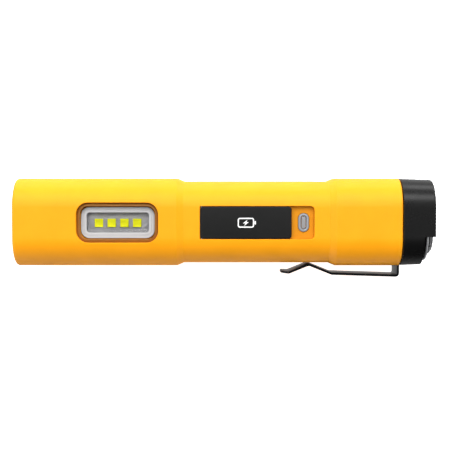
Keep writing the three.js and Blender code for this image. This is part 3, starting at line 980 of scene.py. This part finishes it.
@dataclass
class SideLight:
    """The flood light in the front face: skirt, frame, board, LED packages and window."""

    opening: float = 22.2
    skirt: Size = (28.85, 14.05, 3.95)
    bezel: Size = (26.2, 11.15, 3.1)
    led_corner: float = 0.18

    def build(self) -> None:
        """Makes and dresses every piece of the side light."""
        self.build_skirt()
        self.build_frame()
        made = self.plate("side_light_board", node_box("side_led_board"), 2.4, 0.08)
        finish_piece(made, Finishes.LED_BOARD, "body", ["side_led_board"])
        for number in (1, 2, 3, 4):
            self.build_led(number)
        glass = self.plate("side_light_window", node_box("side_light_lens"), 1.1, 0.03)
        finish_piece(glass, Finishes.LENS, "body", ["side_light_lens"])

    def plate(self, name: str, box: Box, corner: float, soften: float) -> bpy.types.Object:
        """Fills a box with a flat plate that has round corners and softened edges."""
        size = (box.size.x, box.size.y, corner)
        return slab(name, box.centre, size, box.low.z, box.high.z, soften)

    def build_skirt(self) -> None:
        """Makes the silicone skirt, which slopes up from the housing to the frame."""
        box = node_box("side_light_gasket")
        rim, crest = box.low.z + 0.7, box.low.z + 1.5
        profile = rounded_profile([
            (0.0, box.low.z), (0.0, rim), (1.05, crest), (1.15, crest - 0.1), (1.15, box.low.z),
        ], 0.08)
        made = frame_ring("side_light_skirt", box.centre, self.skirt, profile)
        finish_piece(made, Finishes.SKIRT, "body", ["side_light_gasket"], MOULDED)

    def build_frame(self) -> None:
        """Makes the light grey frame round the LEDs, with a shallow step in its face."""
        box = node_box("side_light_bezel")
        wall = (self.bezel[0] - self.opening) / 2
        top = box.high.z
        profile = rounded_profile([
            (0.0, box.low.z), (0.0, top - 0.12), (wall - 0.95, top - 0.12), (wall - 0.8, top),
            (wall, top), (wall, box.low.z),
        ], 0.12)
        made = frame_ring("side_light_frame", box.centre, self.bezel, profile)
        finish_piece(
            made, Finishes.FRAME, "body", ["side_light_bezel"],
            MOULDED,
        )

    def build_led(self, number: int) -> None:
        """Makes one LED package with a slightly dished phosphor face."""
        box = node_box(f"side_led_{number}")
        size = box.high.x - box.low.x
        top = box.high.z
        levels = ((0.0, box.low.z), (0.0, top - 0.06), (0.06, top), (0.2, top), (0.32, top - 0.08))
        rings = [
            flat_ring(
                rounded_rect(size - 2 * inset, size - 2 * inset, self.led_corner, 5), box.centre, z
            )
            for inset, z in levels
        ]
        made = loft(f"side_light_led_{number}", rings)
        finish_piece(made, Finishes.PHOSPHOR, "body", [f"side_led_{number}"])


@dataclass
class SpotLight:
    """The lamp in the head: ring, lens, seal, reflector and LED."""

    rim_radius: float = 11.4
    throat_radius: float = 3.0
    wall: float = 0.9

    def build(self) -> None:
        """Makes and dresses every piece of the spot light."""
        self.build_ring()
        lens = node_box("head_lens")
        radius = (lens.high.y - lens.low.y) / 2
        edge = 0.25
        profile = [(lens.low.x, 0), (lens.low.x, radius - edge), (lens.low.x + edge, radius),
                   (lens.high.x - edge, radius), (lens.high.x, radius - edge), (lens.high.x, 0)]
        made = turned("head_window", profile)
        finish_piece(made, Finishes.LENS, "body", ["head_lens"])
        seal = node_box("head_lens_gasket")
        outer = (seal.high.y - seal.low.y) / 2
        inner = outer - 1.0
        ring = rounded_profile([
            (seal.low.x, inner), (seal.low.x, outer), (seal.high.x, outer), (seal.high.x, inner),
        ], 0.3)
        made = turned("head_window_seal", ring, closed=True)
        finish_piece(
            made, Finishes.RUBBER, "body", ["head_lens_gasket"],
            SMALL_ROUND,
        )
        self.build_reflector()
        self.build_led()

    def build_ring(self) -> None:
        """Makes the retaining ring, with two notches for a pin spanner."""
        box = node_box("head_retaining_ring")
        outer = (box.high.y - box.low.y) / 2
        inner = outer - 1.9
        chamfer = 0.5
        profile = rounded_profile([
            (box.high.x, inner), (box.low.x + chamfer, inner), (box.low.x, inner + chamfer),
            (box.low.x, outer), (box.high.x, outer),
        ], 0.18)
        ring = turned("lens_ring", profile, closed=True)
        notches = []
        for side in (-1, 1):
            centre = Vector((box.low.x, side * (inner + 0.4), BODY_AXIS_Z))
            rings = [
                [(x, centre.y + u, centre.z + v) for u, v in rounded_rect(1.6, 2.0, 0.5, 6)]
                for x in (box.low.x - 1, box.low.x + 0.8)
            ]
            notches.append(loft("notch", rings))
        combine(ring, notches)
        finish_piece(ring, Finishes.CAP, "body", ["head_retaining_ring"], NOTCHED)

    def build_reflector(self) -> None:
        """Makes the bowl as a paraboloid with a thin wall and a rim."""
        box = node_box("head_reflector")
        outer = (box.high.y - box.low.y) / 2
        depth = box.high.x - box.low.x
        steps = 28
        inside = []
        for step in range(steps + 1):
            radius = self.rim_radius + (self.throat_radius - self.rim_radius) * step / steps
            fall = (self.rim_radius**2 - radius**2) / (self.rim_radius**2 - self.throat_radius**2)
            inside.append((box.low.x + depth * fall, radius))
        behind = [(x + 0.2, radius + self.wall) for x, radius in reversed(inside) if radius < 10.8]
        rim = [(box.low.x + 1.0, outer), (box.low.x, outer)]
        made = turned("reflector_bowl", [*inside, *behind, *rim], closed=True)
        finish_piece(
            made, Finishes.MIRROR, "body", ["head_reflector"],
            MOULDED,
        )

    def build_led(self) -> None:
        """Makes the spot LED: a square package under a moulded dome."""
        box = node_box("spot_led")
        base = box.high.x
        size = box.high.y - box.low.y
        rings = [
            upright_ring(rounded_rect(size - 2 * inset, size - 2 * inset, 0.4, 6), x)
            for inset, x in ((0.0, base), (0.0, base - 0.9), (0.1, base - 1.0))
        ]
        package = loft("spot_light_led", rings)
        steps = 10
        height, radius = base - 1.0 - box.low.x, 2.1
        angles = [step / steps * math.pi / 2 for step in range(steps + 1)]
        dome = [
            (base - 0.7 - (height + 0.3) * math.sin(angle), radius * math.cos(angle))
            for angle in angles
        ]
        combine(package, [turned("dome", [(base - 0.5, radius), *dome], steps=32)], "UNION")
        finish_piece(package, Finishes.PHOSPHOR, "body", ["spot_led"])


# ---------------------------------------------------------------- port cover and indicator


@dataclass
class PortCover:
    """The hinged silicone flap over the charging port, with its printed mark."""

    corner: float = 1.25
    soften: float = 0.38
    barrel: float = 0.725
    plug: Size = (12.0, 6.4, 2.0)
    mark_length: float = 5.8
    mark_height: float = 3.5
    mark_line: float = 0.42

    def build(self) -> None:
        """Makes and dresses the flap, its pin and its mark."""
        box = node_box("port_cover")
        size = (box.size.x, box.size.y, self.corner)
        bottom = box.high.z - 1.45
        flap = slab("port_flap", box.centre, size, bottom, box.high.z, self.soften)
        self.round_hinge_end(flap)
        usb = node_box("usb_port").centre
        plug = slab("plug", usb, self.plug, box.low.z, bottom + 0.4, 0.15)
        combine(flap, [plug], "UNION")
        finish_piece(flap, Finishes.RUBBER, "port_cover", ["port_cover"], MOULDED)
        self.build_mark(Vector((box.centre.x, 0.0, box.high.z)))
        pin = node_box("port_cover_hinge_pin")
        radius = (pin.high.x - pin.low.x) / 2
        round_rod = circle(radius, 24)
        ends = (pin.low.y, pin.high.y)
        rod = loft("hinge_rod", [side_ring(round_rod, pin.centre, y) for y in ends])
        finish_piece(rod, Finishes.NICKEL, "body", ["port_cover_hinge_pin"])

    def round_hinge_end(self, flap: bpy.types.Object) -> None:
        """Rounds the flap's end about its hinge, so that it can swing in its recess."""
        hinge = node_box("port_cover_hinge_pin").centre
        for vertex in flap.data.vertices:
            across = vertex.co.x / MM - hinge.x
            if across < 0 and vertex.co.z / MM < hinge.z:
                reach = math.sqrt(max(self.barrel**2 - min(-across, self.barrel) ** 2, 0.0))
                vertex.co.z = max(vertex.co.z, (hinge.z - reach) * MM)

    def build_mark(self, top: Vector) -> None:
        """Makes the printed mark: a plain battery outline with a bolt in it."""
        ink, bite = 0.02, 0.03
        base = top - Vector((0.0, 0.0, bite))
        rise = Vector((0.0, 0.0, (ink + bite) * MM))
        length, height, line = self.mark_length, self.mark_height, self.mark_line
        case = [
            rounded_rect(length, height, 0.8, 8),
            rounded_rect(length - 2 * line, height - 2 * line, 0.38, 8),
        ]
        start, end = length / 2 + 0.14, length / 2 + 0.64
        nub = [(start, -0.6), (end, -0.6), (end, 0.6), (start, 0.6)]
        half_bolt = [(0.65, 1.15), (-1.05, -0.22), (-0.14, -0.22)]
        bolt = half_bolt + [(-u, -v) for u, v in half_bolt]
        mesh = bmesh.new()
        for loops in (case, [nub], [bolt]):
            lower = [
                [mesh.verts.new((Vector((u, v, 0)) + base) * MM) for u, v in loop]
                for loop in loops
            ]
            upper = [[mesh.verts.new(vertex.co + rise) for vertex in loop] for loop in lower]
            for level in (lower, upper):
                if len(level) > 1:
                    bridge(mesh, level[0], level[1])
                else:
                    mesh.faces.new(level[0])
            for below, above in zip(lower, upper):
                bridge(mesh, below, above)
        mark = to_object("port_flap_mark", mesh)
        finish_piece(mark, Finishes.INK, "port_cover", [], sharp=None)


@dataclass
class Indicator:
    """The charge indicator: a grey oval moulding round a small frosted light pipe."""

    slot_wall: float = 0.95

    def build(self) -> None:
        """Makes and dresses the moulding and the light pipe."""
        box = node_box("indicator_bezel")
        top = box.high.z
        profile = rounded_profile([
            (0.0, box.low.z), (0.0, top - 0.22), (0.3, top), (self.slot_wall - 0.25, top),
            (self.slot_wall, top - 0.3), (self.slot_wall, box.low.z),
        ], 0.15)
        made = frame_ring("indicator_oval", box.centre, oval(box.size), profile)
        finish_piece(made, Finishes.GREY, "body", ["indicator_bezel"], MOULDED)
        pipe = node_box("indicator_light_pipe")
        size, low, high = oval(pipe.size), pipe.low.z, pipe.high.z
        made = slab("indicator_pipe", pipe.centre, size, low, high, 0.2)
        replaced = ["indicator_light_pipe"]
        finish_piece(made, Finishes.LIGHT_PIPE, "body", replaced, SMALL_ROUND)


# ---------------------------------------------------------------- clip


@dataclass
class PocketClip:
    """The bent spring steel strip on the side, clamped at the tail cap's seam."""

    thickness: float = 0.8
    edge: float = 0.12
    tip_corner: float = 3.0
    # Distance from the leg, distance from the body's axis and bend radius, from tip to leg.
    bends: tuple[tuple[float, float, float], ...] = (
        (42.45, 18.1, 0.0), (39.6, 18.4, 2.2), (32.35, 15.45, 2.2), (24.1, 18.78, 2.2),
        (0.0, 19.53, 1.1), (0.0, 13.4, 0.0),
    )

    def centre_line(self) -> list[Vector]:
        """The strip's middle line, from the tip to the end of the leg."""
        leg = node_box("pocket_clip").high.x - self.thickness / 2
        corners = [Vector((leg - along, -out)) for along, out, _ in self.bends]
        line = [corners[0]]
        for i in range(1, len(corners) - 1):
            inward = (line[-1] - corners[i]).normalized()
            outward = (corners[i + 1] - corners[i]).normalized()
            reach = self.bends[i][2] / math.tan(inward.angle(outward) / 2)
            entry, leave = corners[i] + inward * reach, corners[i] + outward * reach
            line += bend(entry, corners[i], leave, 8)
        line.append(corners[-1])
        return self.with_tip_steps(line)

    def with_tip_steps(self, line: list[Vector]) -> list[Vector]:
        """Adds points near the tip, where the strip's corners are rounded."""
        first, second = line[0], line[1]
        added = [first + (second - first) * share for share in (0.0, 0.08, 0.2, 0.4, 0.7)]
        return added + line[1:]

    def build(self) -> None:
        """Makes and dresses the clip."""
        box = node_box("pocket_clip")
        full = box.high.z - box.low.z
        line = self.centre_line()
        travelled = 0.0
        rings = []
        for i, point in enumerate(line):
            if i:
                travelled += (point - line[i - 1]).length
            tangent = (line[min(i + 1, len(line) - 1)] - line[max(i - 1, 0)]).normalized()
            normal = Vector((-tangent.y, tangent.x))
            short = max(self.tip_corner - travelled, 0.0)
            narrow = self.tip_corner - math.sqrt(max(self.tip_corner**2 - short**2, 0.0))
            outline = rounded_rect(full - 2 * narrow, self.thickness, self.edge, 4)
            rings.append([
                (point.x + normal.x * v, point.y + normal.y * v, box.centre.z + u)
                for u, v in outline
            ])
        strip = loft("spring_clip", rings)
        finish_piece(strip, Finishes.SPRING, "pocket_clip", ["pocket_clip"], MOULDED)


# ---------------------------------------------------------------- tail


@dataclass
class Tail:
    """The tail cap with its cut-away shroud, and the ringed push switch inside it."""

    start: Section = Section(15.4, 5.0)
    end: Section = Section(15.05, 5.0)
    fillet: float = 0.8
    shroud_depth: float = 4.15
    shroud: Section = Section(14.05, 4.85)
    notch: float = -5.05
    # The switch follows the body's squared section, with short flats between round corners.
    switch_flat: float = 4.4
    spigot: Size = (23.4, 22.4, 7.1)

    def build(self) -> None:
        """Makes and dresses every piece of the tail."""
        self.build_cap()
        self.build_rings()
        self.build_button()
        self.build_screws()

    def build_cap(self) -> None:
        """Makes the cap: a tapered shell with a squared bore, and a shroud open on one side."""
        box = node_box("tail_cap")
        seam = node_box("housing").high.x + 0.3
        tip = box.high.x
        chamfer = 0.2
        rings = [self.start.ring(seam, chamfer), self.start.ring(seam + chamfer)]
        edge = reversed(quarter_round(self.fillet, 8))
        rings += [self.end.ring(tip - along, inset) for along, inset in edge]
        shell = loft("tail_cap_moulding", rings)
        outline, ends = rounded_rect(*self.spigot, 10), (box.low.x, seam + 0.5)
        spigot = loft("spigot", [upright_ring(outline, x, CHAMBER_Z) for x in ends])
        combine(shell, [spigot], "UNION")
        floor = tip - self.shroud_depth
        round_edge = 0.3
        bore = [self.shroud.ring(floor)]
        bore += [self.shroud.ring(tip - u, -spread) for spread, u in quarter_round(round_edge, 5)]
        bore.append(self.shroud.ring(tip + 1, -round_edge))
        cutters = [
            loft("shroud", bore),
            self.squared("boot_seat", [(floor - 1.05, 13.6), (floor + 0.1, 13.6)]),
            self.squared("button_bore", [(floor - 4.6, 12.05), (floor - 0.9, 12.05)]),
            turned("stem_bore", [(floor - 6, 3.2), (floor - 4, 3.2)], steps=32),
            turned("switch_bore", [(box.low.x - 1, 9.6), (floor - 5.9, 9.6)]),
            self.notch_cutter(floor, tip),
            leg_pocket(),
        ]
        combine(shell, cutters)
        finish_piece(shell, Finishes.CAP, "body", ["tail_cap"], CUT)

    def notch_cutter(self, floor: float, tip: float) -> bpy.types.Object:
        """The block that cuts away the clip's side of the shroud, with a rounded inner corner."""
        corner, outside = 0.5, -20.0
        outline = [(tip + 1, self.notch), (tip + 1, outside), (floor, outside)]
        outline += [(floor + u, self.notch - v) for u, v in quarter_round(corner, 5)]
        return loft("notch_block", [[(x, y, z) for x, y in outline] for z in (-1.0, 33.0)])

    def squared(
        self, name: str, profile: Sequence[tuple[float, float]], closed: bool = False
    ) -> bpy.types.Object:
        """Runs a profile round the squared section of the switch.

        Args:
            name: Name of the new object.
            profile: Pairs of x and half size.
            closed: The profile returns to its first point and leaves a hole in the middle.

        Returns:
            The squared object.
        """
        rings = [Section(half, min(self.switch_flat, half * 0.4)).ring(x) for x, half in profile]
        return loft(name, rings, closed)

    def build_rings(self) -> None:
        """Makes the two bright rings and the black boot between them."""
        bezel = node_box("switch_bezel_ring")
        inner, outer, chamfer = 12.15, 13.75, 0.3
        low, high = bezel.low.x, bezel.high.x
        profile = rounded_profile([
            (low, inner), (low, outer), (high - chamfer, outer), (high, outer - chamfer),
            (high, inner),
        ], 0.12)
        made = self.squared("switch_outer_ring", profile, closed=True)
        finish_piece(made, Finishes.RING, "body", ["switch_bezel_ring"], MOULDED)
        boot = node_box("switch_boot")
        flange = boot.low.x + 1.7
        profile = rounded_profile([
            (boot.low.x, 11.5), (boot.low.x, 13.3), (flange, 13.3), (flange, 11.95),
            (boot.high.x, 11.9), (boot.high.x, 11.5),
        ], 0.15)
        made = self.squared("switch_rubber_boot", profile, closed=True)
        finish_piece(made, Finishes.NITRILE, "body", ["switch_boot"], MOULDED)
        trim = node_box("switch_trim_ring")
        inner, outer = 10.85, 11.25
        low, high = trim.low.x, trim.high.x
        profile = rounded_profile([(low, inner), (low, outer), (high, outer), (high, inner)], 0.12)
        made = self.squared("switch_inner_ring", profile, closed=True)
        finish_piece(
            made, Finishes.RING, "tail_button", ["switch_trim_ring"],
            MOULDED,
        )

    def build_button(self) -> None:
        """Makes the push button, with a dished face and raised grip rings."""
        box = node_box("switch_button")
        top = box.high.x
        half, face, post = 11.2, 10.55, 2.8
        skirt = box.low.x + 1.9
        crown = [
            (top - 0.35, face), (top - 0.1, face - 0.1), (top, face - 0.35),
            (top - 0.1, face - 0.7),
        ]
        edge = [(skirt, half), (top - 1.6, half), (top - 1.58, face)]
        dish = []
        for ring_half in (9.0, 7.4, 5.8, 4.2, 2.6):
            level = top - 0.45 - 0.03 * (9.0 - ring_half)
            dish += [(level, ring_half + 0.45), (level - 0.3, ring_half + 0.2),
                     (level - 0.3, ring_half - 0.2), (level, ring_half - 0.45)]
        made = self.squared("push_button", [*edge, *crown, *dish, (top - 0.7, 0.5)])
        shaft = [(box.low.x, 2.6), (box.low.x + 0.2, post), (skirt + 0.3, post)]
        stem = turned("stem", shaft, steps=32)
        combine(made, [stem], "UNION")
        finish_piece(
            made, Finishes.NITRILE, "tail_button", ["switch_button"],
            MOULDED,
        )

    def build_screws(self) -> None:
        """Makes the two countersunk screws, each with a hexagon socket."""
        for number in (1, 2):
            box = node_box(f"tail_cap_screw_{number}")
            low, high = box.low.z, box.high.z
            levels = (
                (1.72, low), (1.9, low + 0.15), (1.9, low + 0.32), (0.95, 1.35),
                (0.95, high - 0.3), (0.7, high),
            )
            rings = [flat_ring(circle(radius, 48), box.centre, z) for radius, z in levels]
            screw = loft(f"cap_screw_{number}", rings)
            hexagon = circle(0.75, 6)
            socket = [flat_ring(hexagon, box.centre, z) for z in (low - 0.5, low + 0.9)]
            combine(screw, [loft("socket", socket)])
            finish_piece(screw, Finishes.SPRING, "body", [f"tail_cap_screw_{number}"])


# ---------------------------------------------------------------- inside


class Inside:
    """The sealed inner pieces, which keep their CAD shapes."""

    dress: dict[str, Finish] = {
        "spot_led_board": Finishes.WHITE_BOARD,
        "head_heat_sink": Finishes.ALUMINIUM,
        "charge_led": Finishes.PHOSPHOR,
        "main_circuit_board": Finishes.GREEN_BOARD,
        "usb_port": Finishes.NICKEL,
        "battery_cell": Finishes.SLEEVE,
        "battery_cradle": Finishes.CAP,
        "battery_tab_positive": Finishes.NICKEL,
        "battery_tab_negative": Finishes.NICKEL,
        "tail_cap_seal": Finishes.RUBBER,
        "switch_plunger": Finishes.FRAME,
        "switch_body": Finishes.CAP,
        "switch_board": Finishes.GREEN_BOARD,
    }

    def build(self) -> None:
        """Dresses every inner node."""
        for node, finish in self.dress.items():
            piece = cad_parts[node]
            piece.data.materials.clear()
            piece.data.materials.append(finish.material())
            LOG.info("%s: %s", node, finish.name)


# ---------------------------------------------------------------- stage


def aimed(target: Vector, away: Vector, across: Vector, distance: float) -> Matrix:
    """Places a lamp or the camera so that it looks at a target.

    Args:
        target: The place that it looks at, in metres.
        away: Direction from the target to it.
        across: Direction of its width.
        distance: How far off it stands, in metres.

    Returns:
        Its matrix.
    """
    turned_to = Matrix((across, away.cross(across), away)).transposed().to_4x4()
    return Matrix.Translation(target + away * distance) @ turned_to


@dataclass(frozen=True)
class SoftBox:
    """One rectangular studio light, aimed at the body's middle."""

    name: str
    # Degrees from straight up towards +Y, then degrees of turn from +Y towards +X.
    angle: float
    turn: float
    distance: float
    size: tuple[float, float]
    radiance: float
    in_diffuse: bool = True
    in_gloss: bool = True

    def build(self, target: Vector) -> None:
        """Adds the light.

        Args:
            target: The place that it faces, in metres.
        """
        lean, swing = math.radians(self.angle), math.radians(self.turn)
        side = math.sin(lean)
        away = Vector((side * math.sin(swing), side * math.cos(swing), math.cos(lean)))
        lamp = bpy.data.lights.new(self.name, "AREA")
        lamp.shape = "RECTANGLE"
        lamp.size, lamp.size_y = self.size
        lamp.energy = self.radiance * math.pi * self.size[0] * self.size[1]
        holder = bpy.data.objects.new(self.name, lamp)
        bpy.context.scene.collection.objects.link(holder)
        across = Vector((math.cos(swing), -math.sin(swing), 0.0))
        holder.matrix_world = aimed(target, away, across, self.distance)
        holder.visible_diffuse = self.in_diffuse
        holder.visible_glossy = self.in_gloss
        holder.visible_camera = False


@dataclass
class Studio:
    """The floor, the lights and the camera."""

    lens: float = 80.0
    distance: float = 0.368
    lean: float = 2.0
    aim: tuple[float, float] = (38.1, -1.3)
    floor_half: float = 1.6
    boxes: tuple[SoftBox, ...] = (
        SoftBox("overhead_fill", 32, 0, 0.9, (1.1, 0.9), 3.55, in_gloss=False),
        SoftBox("upper_strip", 44.5, 0, 0.6, (0.9, 0.2), 2.5),
        SoftBox("low_strip", 88, 0, 0.15, (0.7, 0.05), 1.7),
        SoftBox("head_card", 52, -90, 0.6, (0.5, 0.4), 1.3),
        SoftBox("shoulder_card", 80, -145, 0.6, (0.3, 0.3), 2.6, in_diffuse=False),
        SoftBox("tail_card", 60, 90, 0.6, (0.5, 0.3), 1.2, in_gloss=False),
    )
    # Brightness of the surround against the sideways part of the direction, from -Y to +Y.
    surround: tuple[tuple[float, float], ...] = (
        (-0.9, 0.02), (-0.35, 0.04), (-0.05, 0.3), (0.25, 0.35), (0.7, 0.5), (1.0, 0.5),
    )
    # Brightness that the surround gains below the horizon.
    ground: float = 0.23

    def build(self) -> None:
        """Adds the stage round the finished light."""
        scene = bpy.context.scene
        scene.view_settings.view_transform = "Standard"
        target = Vector((self.aim[0] * MM, self.aim[1] * MM, BODY_AXIS_Z * MM))
        lean = math.radians(self.lean)
        away = Vector((0.0, math.sin(lean), math.cos(lean)))
        camera = bpy.data.cameras.new("camera")
        camera.lens = self.lens
        holder = bpy.data.objects.new("camera", camera)
        scene.collection.objects.link(holder)
        holder.matrix_world = aimed(target, away, Vector((1.0, 0.0, 0.0)), self.distance)
        scene.camera = holder
        for box in self.boxes:
            box.build(target)
        self.build_world()
        self.build_floor()

    def build_world(self) -> None:
        """A soft surround, darker on the clip's side."""
        world = bpy.data.worlds.new("surround")
        world.use_nodes = True
        tree = world.node_tree
        tree.nodes.clear()
        place = add_node(tree, "ShaderNodeTexCoord").outputs["Generated"]
        parts = add_node(tree, "ShaderNodeSeparateXYZ", links={"Vector": place})
        ramp = add_node(
            tree,
            "ShaderNodeFloatCurve",
            links={"Value": add_node(
                tree, "ShaderNodeMapRange", {"From Min": -1.0}, {"Value": parts.outputs["Y"]}
            ).outputs["Result"]},
        )
        peak = max(level for _, level in self.surround)
        curve = ramp.mapping.curves[0]
        for side, level in self.surround:
            curve.points.new((side + 1) / 2, level / peak)
        curve.points[0].location = (0.0, self.surround[0][1] / peak)
        curve.points[-1].location = (1.0, 1.0)
        ramp.mapping.update()
        below = add_node(
            tree,
            "ShaderNodeMapRange",
            {"From Min": 0.2, "From Max": -0.35, "To Max": self.ground},
            {"Value": parts.outputs["Z"]},
        )
        strength = add_node(
            tree,
            "ShaderNodeMath",
            {1: peak},
            {0: ramp.outputs["Value"], 2: below.outputs["Result"]},
            operation="MULTIPLY_ADD",
        )
        background = add_node(
            tree, "ShaderNodeBackground", {"Color": WHITE}, {"Strength": strength.outputs[0]}
        )
        add_node(tree, "ShaderNodeOutputWorld", links={"Surface": background.outputs[0]})
        bpy.context.scene.world = world

    def build_floor(self) -> None:
        """A plain white floor under the light."""
        mesh = bmesh.new()
        half = self.floor_half
        corners = ((-half, -half), (half, -half), (half, half), (-half, half))
        mesh.faces.new([mesh.verts.new((x, y, 0.0)) for x, y in corners])
        floor = to_object("floor", mesh)
        floor.location.z = -FLOOR_GAP
        paint = Finish(
            "white_painted_floor", "F6F6F6", 0.7, patch_mm=60.0, patch_shade=0.01,
            extra={"Emission Color": WHITE, "Emission Strength": 0.97},
        )
        floor.data.materials.append(paint.material())
        floor.visible_glossy = False


def main() -> None:
    """Builds the stage, then every sub-assembly."""
    logging.basicConfig(level=logging.INFO, format="%(name)s %(message)s")
    Studio().build()
    for assembly in (
        Housing, SideLight, SpotLight, PortCover, Indicator, PocketClip, Tail, Inside,
    ):
        assembly().build()
        LOG.info("%s done", assembly.__name__)
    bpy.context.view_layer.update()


if __name__ == "__main__":
    main()
